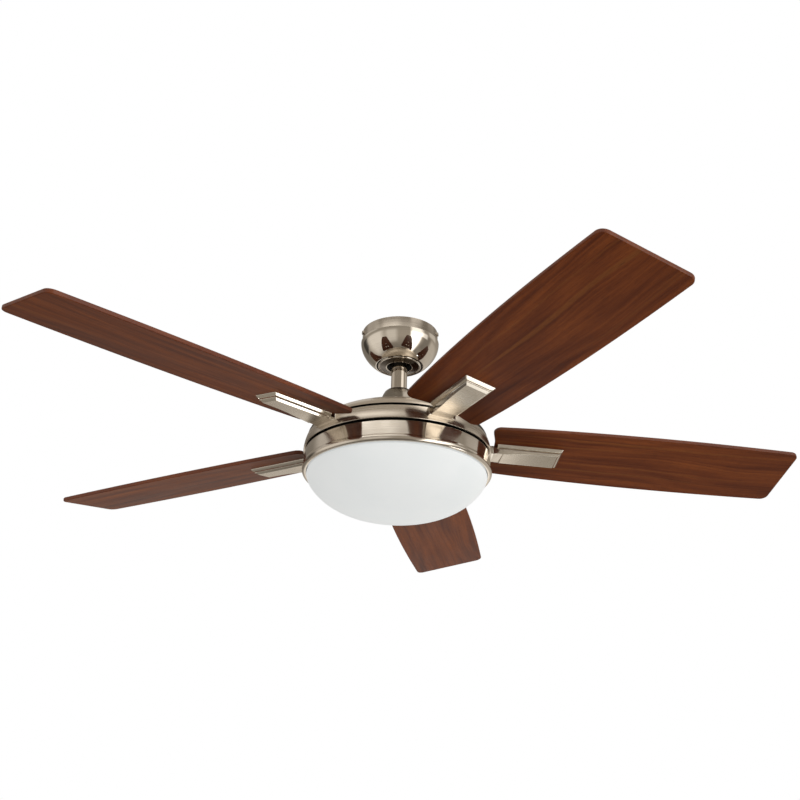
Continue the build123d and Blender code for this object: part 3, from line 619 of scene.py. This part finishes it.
# ------------------------------------------------------------------ light ring and bowl
lip = spline([(152, -48), (152.75, -50.4), (153.05, -53), (152.6, -55.4), (151.4, -57.2), (149.8, -58.2), (148.0, -58.6), (146.6, -58.5), (146.0, -58.0)], 0.5)
lathe("light_ring_spun", soften(zb([(138, -24.6), (149, -24.6), (149.8, -25.4), (150.6, -31)] + lip
                                   + [(146.1, -57.4), (147.8, -57.0), (149.2, -55.4), (149.6, -52), (149.6, -49), (148.4, -32), (147.6, -28.4), (146.8, -26.6), (138, -26.6)]), 0.8, 5),
      [M_RING, M_PAINTED_SHADE], "motor_body", ["light_ring"], 288, shade_faces=lambda r, z, n, up: r < 148.6 and z > ZB - 26.0)
glass_out = spline([(145.7, -60.6), (142.4, -70), (135.1, -80), (125.1, -90), (111.2, -100), (90.9, -110), (63.2, -118), (30.7, -122), (0, -122.7)], 2.2)
glass_in = spline([(0, -119.2), (30.2, -118.5), (61.8, -114.7), (88.8, -107.2), (108.5, -97.7), (122.2, -88), (132.0, -78.2), (138.9, -68.8), (141.6, -61.6)], 4.0)
glass_out[-1], glass_in[0] = (0.0, -122.7), (0.0, -119.2)
lathe("glass_bowl_blown", soften(zb(glass_out + glass_in + [(139.5, -57.5), (139.5, -40.5), (143, -40.5), (143, -57.4), (145.0, -59.2)]), 0.8, 4, 20.0),
      M_OPAL, "bowl", ["glass_bowl"], 224)

# ------------------------------------------------------------------ blades
HALF = [(146.0, 62.96), (200.0, 66.9), (300.0, 71.5), (400.0, 73.8), (500.0, 73.9), (600.0, 72.0), (660.4, 70.0)]
side = [p for p in spline(HALF, 6.0)]
side = [side[0]] + [p for p in side if 183.0 < p[0] < 630.5] + [side[-1]]
outline = [(u, -h) for u, h in side] + [(u, h) for u, h in reversed(side)]
radii = [12.0] + [0.0] * (len(side) - 2) + [13.0, 13.0] + [0.0] * (len(side) - 2) + [12.0]
ROOT_R, root_a = math.hypot(*HALF[0]), math.atan2(HALF[0][1], HALF[0][0])
root = [(ROOT_R * math.cos(a), ROOT_R * math.sin(a)) for a in np.linspace(root_a - rad(13.2), rad(13.2) - root_a, 11)]
outline, radii = outline + root, radii + [0.0] * len(root)
outline = soften(outline, radii, 10)


def loop_normals(loop):
    n, out = len(loop), []
    for i in range(n):
        a, b, c = (Vector(loop[j % n]) for j in (i - 1, i, i + 1))
        d = (b - a).normalized() + (c - b).normalized()
        out.append(Vector((d.y, -d.x)).normalized())
    return out


outline_n = loop_normals(outline)


def inset(d):
    return [(p[0] - n.x * d, p[1] - n.y * d) for p, n in zip(outline, outline_n)]


BLADE_T, BLADE_EDGE = 6.4, 1.7
GRAIN_SHIFT = [(0.35, 0.21), (1.90, 0.83), (3.15, 1.47), (4.65, 2.09), (6.05, 2.66)]
for k in range(5):
    loops = []
    for j in range(6):
        a = rad(90.0 * j / 5)
        loops.append((inset(BLADE_EDGE * (1 - math.sin(a))), BLADE_EDGE * (1 - math.cos(a))))
    for j in range(6):
        a = rad(90.0 * j / 5)
        loops.append((inset(BLADE_EDGE * (1 - math.cos(a))), BLADE_T - BLADE_EDGE + BLADE_EDGE * math.sin(a)))
    sh = Shell()
    sh.stack(loops, lambda p, h: (p[0] * MM, p[1] * MM, h * MM), mats=[0, 0, 1, 1, 1, 1, 1, 1, 1, 2, 2], caps=(0, 2))
    o = finish_mesh("blade_wood_%d" % (k + 1), sh.verts, sh.faces, [M_WOOD, M_WOOD_EDGE, M_WOOD_TOP], "rotor", ["blade_%d" % (k + 1)], blade_frame(k))
    me = o.data
    for p, i in zip(me.polygons, sh.mats):
        p.material_index = i
    uv = me.uv_layers.new(name="grain")
    du, dv = GRAIN_SHIFT[k]
    for p in me.polygons:
        top = 3.3 if p.center.z > 0.0055 and p.normal.z > 0.9 else 0.0
        for li in p.loop_indices:
            c = me.vertices[me.loops[li].vertex_index].co
            uv.data[li].uv = (c.x + du + top, c.y + dv + 0.4 * c.z + 0.5 * top)
    weigh_normals(me, 40.0)

# ------------------------------------------------------------------ blade arms
FRAME = [  # inner end, outer end, half width, height, corner radius
    (162.0, 272.5, 25.0, 0.0, 1.2), (162.0, 272.5, 25.0, -0.7, 1.2), (162.0, 272.35, 24.87, -1.15, 1.15), (162.2, 269.5, 22.65, -4.15, 0.9),
    (162.4, 269.1, 22.3, -4.4, 0.8), (162.8, 268.9, 21.9, -3.9, 0.7), (163.5, 268.4, 21.0, -3.9, 0.6), (164.0, 268.0, 20.5, -4.4, 0.6),
    (164.0, 268.0, 20.5, -6.4, 0.6), (164.2, 267.8, 20.3, -6.75, 0.6), (164.6, 267.4, 19.9, -6.9, 0.6),
]
LOW_EDGE = spline([(171.8, -14.9), (190.0, -13.5), (205.0, -12.1), (220.0, -11.0), (240.0, -10.35), (262.2, -10.15)], 1.0)
HIGH_EDGE = spline([(171.8, -9.5), (190.0, -9.7), (220.0, -9.9), (262.2, -10.15)], 1.0)


NECK = spline([(152.6, 17.7, -2.7, 17.4, -15.6, -8.6), (157.0, 18.2, -3.4, 17.3, -15.7, -8.7), (160.0, 18.6, -3.7, 17.2, -15.2, -8.25), (164.5, 19.0, -4.1, 17.1, -14.7, -7.8),
               (168.0, 19.5, -4.8, 17.0, -14.4, -7.5), (171.4, 19.9, -5.5, 16.9, -14.3, -7.4)], 0.5)


def along(table, u):
    return float(np.interp(u, [q[0] for q in table], [q[1] for q in table]))


def arm_section(u):
    """cross-section of the raised flat at the distance u: (half width, height) at the frame, then its two lower corners"""
    if u < 171.6:
        return tuple(along([(q[0], q[i]) for q in NECK], u) for i in range(1, 6))
    if u <= 262.3:
        return 19.9, -6.3, 17.0, along(LOW_EDGE, u), along(HIGH_EDGE, u)
    f = (u - 262.3) / 3.5
    f = max(0.0, f * 1.06 - 0.06) if f > 0.12 else f * f * 0.5
    return 19.9, -6.3, 17.0 + 2.4 * f, -10.15 + 3.15 * f, -10.15 + 3.15 * f


STATIONS = [152.6, 154.5, 156.2, 157.2, 158.2, 159.2, 160.2, 161.4, 162.8, 164.4, 166.2, 168.2, 169.8, 171.3, 171.8, 174.5] + [178.0 + 4.0 * i for i in range(21)] + [260.5, 262.3, 262.5, 262.8, 263.4, 264.5, 265.8]
for k in range(5):
    m = blade_frame(k)
    inv = m.inverted()
    deg = 7.59 + 72.0 * k
    sh = Shell()
    sh.stack([(rrect(a, b, -h, h, r), w) for a, b, h, w, r in FRAME], lambda p, w: (p[0] * MM, p[1] * MM, w * MM), mats=1, caps=(1, 1))
    loops = []
    for u in STATIONS:
        t, top, b, left, right = arm_section(u)
        loops.append((soften([(-t, top), (-b, left), (b, right), (t, top)], [0.0, 0.7, 0.7, 0.0], 4), u))
    first = len(sh.faces)
    sh.stack(loops, lambda p, u: (u * MM, p[0] * MM, p[1] * MM), mats=1, caps=(1, 1))
    ring = len(loops[0][0])
    for i in range(len(loops) - 1):
        if STATIONS[i] < 261.5:
            sh.mats[first + i * ring + 5] = 0      # the broad underside

    def turned(p, r):
        a = rad(deg + p[0])
        if r is None:      # on the turning band
            r = 0.05 + float(np.interp(p[1], [q[1] for q in FLARE[::-1]], [q[0] for q in FLARE[::-1]]))
        return tuple(inv @ Vector((r * math.cos(a) * MM, r * math.sin(a) * MM, (ZB + p[1]) * MM)))

    def plain(p, h):
        a = rad(deg)
        x, y = p
        return tuple(inv @ Vector(((x * math.cos(a) - y * math.sin(a)) * MM, (x * math.sin(a) + y * math.cos(a)) * MM, (ZB + h) * MM)))

    foot = []
    for r, e in ((None, 0.0), (155.9, 0.0), (156.4, 0.10), (156.8, 0.35), (157.0, 0.8)):
        g = math.degrees(e / 150.0)
        loop = rrect(-8.4 + g, 8.4 - g, -14.7 + e, -1.2 - e, 0.35, 2)
        dense = []
        for i, q in enumerate(loop):
            nx = loop[(i + 1) % len(loop)]
            n = 14 if abs(nx[0] - q[0]) > 4 else 1
            dense.extend((q[0] + (nx[0] - q[0]) * j / n, q[1] + (nx[1] - q[1]) * j / n) for j in range(n))
        foot.append((dense, r))
    sh.stack(foot, turned, mats=1, caps=(1, 1))
    sh.stack([(rrect(112.0, 153.5, -17.0, 17.0, 1.5), h) for h in (-12.0, -8.0)], plain, mats=1, caps=(1, 1))
    o = finish_mesh("arm_casting_%d" % (k + 1), sh.verts, sh.faces, [M_ARM, M_ARM_EDGE], "rotor", ["blade_arm_%d" % (k + 1)], m)
    for q, i in zip(o.data.polygons, sh.mats):
        q.material_index = i
    weigh_normals(o.data, 24.0)

# ------------------------------------------------------------------ stage, light and camera
def area(name, place, look, sx, sy, radiance, tint=(1.0, 1.0, 1.0)):
    d = bpy.data.lights.new(name, "AREA")
    d.shape, d.size, d.size_y = "RECTANGLE", sx, sy
    d.energy = radiance * math.pi * sx * sy
    d.color = tint
    o = bpy.data.objects.new(name, d)
    scene.collection.objects.link(o)
    o.location = place
    o.rotation_euler = (Vector(look) - Vector(place)).to_track_quat("-Z", "Y").to_euler()
    o.visible_camera = False
    return o


# one lamp high at the back; the rest of the soft light is the studio round the object, as white panels with
# feathered edges in a dim warm room
area("softbox_back", (0.0, 2.3, 2.9), (0.0, 0.0, -0.2), 3.6, 1.6, 0.40)

world = bpy.data.worlds.new("studio")
scene.world = world
world.use_nodes = True
sky = Mat.__new__(Mat)
sky.t = world.node_tree
sky.t.nodes.clear()
dx, dy, dz = sky.split(sky.coord("Generated"))
AZ = sky.math("MULTIPLY", sky.math("ARCTAN2", dx, sky.math("MULTIPLY", dy, -1.0)), 180.0 / math.pi)   # degrees to the right of the camera's side
EL = sky.math("MULTIPLY", sky.math("ARCSINE", dz), 180.0 / math.pi)
AZ_BACK = sky.math("ABSOLUTE", AZ)


def window(value, a, b, c, d):
    """rises from 0 to 1 between a and b, falls back between c and d"""
    return sky.math("MULTIPLY", sky.span(value, a, b, 0.0, 1.0, True), sky.span(value, c, d, 1.0, 0.0, True))


def panel(az, el, level, side=AZ):
    return sky.math("MULTIPLY", sky.math("MULTIPLY", window(side, *az), window(EL, *el)), level)


def total(parts):
    out = parts[0]
    for q in parts[1:]:
        out = sky.math("ADD", out, q)
    return out


ROOM = [(-90, 0.15), (-60, 0.19), (-40, 0.31), (-20, 0.42), (0, 0.42), (22, 0.36), (36, 0.28), (50, 0.42), (66, 0.52), (90, 0.58)]
room = sky.ramp(sky.span(EL, -90.0, 90.0, 0.0, 1.0), [((e + 90.0) / 180.0, (v, v * 0.90, v * 0.775)) for e, v in ROOM])
shade = total([panel((-178, -150, -128, -106), (-34, -14, 22, 30), 0.55), panel((66, 80, 92, 106), (-45, -28, 4, 16), 0.50),
               panel((-137, -127, -113, -105), (-11, -6, 13, 18), 0.75)])
room = sky.mix(shade, room, (0.06, 0.054, 0.047))
white = total([
    panel((27, 37, 57, 70), (-68, -52, -2, 14), 2.4),          # key, low on the right
    panel((26, 38, 58, 78), (-6, 6, 24, 35), 1.20),            # the key's upper feather
    panel((58, 68, 80, 90), (-6, 1, 11, 18), 0.75),
    panel((38, 48, 86, 112), (36, 48, 74, 86), 1.50),
    panel((88, 98, 118, 130), (10, 17, 27, 33), 0.30),
    panel((95, 101, 113, 120), (-59, -55, -46, -41), 4.20),     # low on the far right
    panel((-122, -92, -64, -40), (-58, -34, 9, 18), 0.46),     # fill on the left
    panel((-50, -34, -18, -2), (-45, -30, 4, 20), 0.30),
    panel((-95, -70, 40, 70), (30.5, 34.5, 43, 50), 0.72),       # strip above the camera
    panel((-66, -48, -18, 12), (30.5, 34, 43, 48), 0.72),
    panel((-132, -112, -84, -62), (20, 26, 42, 50), 0.30),
    panel((96, 110, 181, 182), (-60, -40, -2, 14), 0.16),
    panel((152, 166, 181, 182), (-48, -32, 0, 10), 0.16, AZ_BACK),
    panel((160, 169, 181, 182), (-31, -27, -21, -17), 0.55, AZ_BACK),
])
w_room = sky.node("Background")
w_white = sky.node("Background")
w_back = sky.node("Background")
w_sum = sky.node("AddShader")
w_mix = sky.node("MixShader")
w_out = sky.node("OutputWorld")
sky.feed(w_room, 0, room)
sky.feed(w_white, 1, white)
w_white.inputs[0].default_value = (1.0, 0.985, 0.96, 1.0)
w_back.inputs[0].default_value = (1.0, 1.0, 1.0, 1.0)
sky.t.links.new(w_room.outputs[0], w_sum.inputs[0])
sky.t.links.new(w_white.outputs[0], w_sum.inputs[1])
sky.t.links.new(sky.node("LightPath").outputs["Is Camera Ray"], w_mix.inputs[0])
sky.t.links.new(w_sum.outputs[0], w_mix.inputs[1])
sky.t.links.new(w_back.outputs[0], w_mix.inputs[2])
sky.t.links.new(w_mix.outputs[0], w_out.inputs[0])

fm = Mat("floor_paper")
fv = fm.coord()
fg = fm.noise(fv, 3.0, 3.0, 0.5)
fm.to("Base Color", fm.mix(fm.span(fg, 0.3, 0.7, 0.0, 1.0), (0.80, 0.80, 0.795), (0.83, 0.83, 0.825)))
fm.put(Roughness=0.9, Specular_IOR_Level=0.2)
bm = bmesh.new()
bmesh.ops.create_circle(bm, cap_ends=True, segments=96, radius=24.0)
fme = bpy.data.meshes.new("floor")
bm.to_mesh(fme)
bm.free()
fme.materials.append(fm.m)
floor = bpy.data.objects.new("floor", fme)
floor.location = (0.0, 0.0, -2.40)
floor.visible_diffuse = floor.visible_glossy = floor.visible_shadow = False
scene.collection.objects.link(floor)

yaw, pitch, roll = rad(0.079), rad(25.159), rad(1.370)
fwd = Vector((math.sin(yaw) * math.cos(pitch), math.cos(yaw) * math.cos(pitch), math.sin(pitch)))
right = Vector((math.cos(yaw), -math.sin(yaw), 0.0))
up = right.cross(fwd)
r2 = right * math.cos(roll) + up * math.sin(roll)
u2 = up * math.cos(roll) - right * math.sin(roll)
cd = bpy.data.cameras.new("camera")
cd.sensor_fit, cd.sensor_width, cd.lens = "HORIZONTAL", 36.0, 50.34
cd.clip_start, cd.clip_end = 0.01, 100.0
cam = bpy.data.objects.new("camera", cd)
cm = Matrix((r2, u2, -fwd)).transposed().to_4x4()
cm.translation = Vector((0.0, -1.6835, -0.91557))
cam.matrix_world = cm
scene.collection.objects.link(cam)
scene.camera = cam
scene.view_settings.view_transform = "Standard"
scene.view_settings.look = "None"
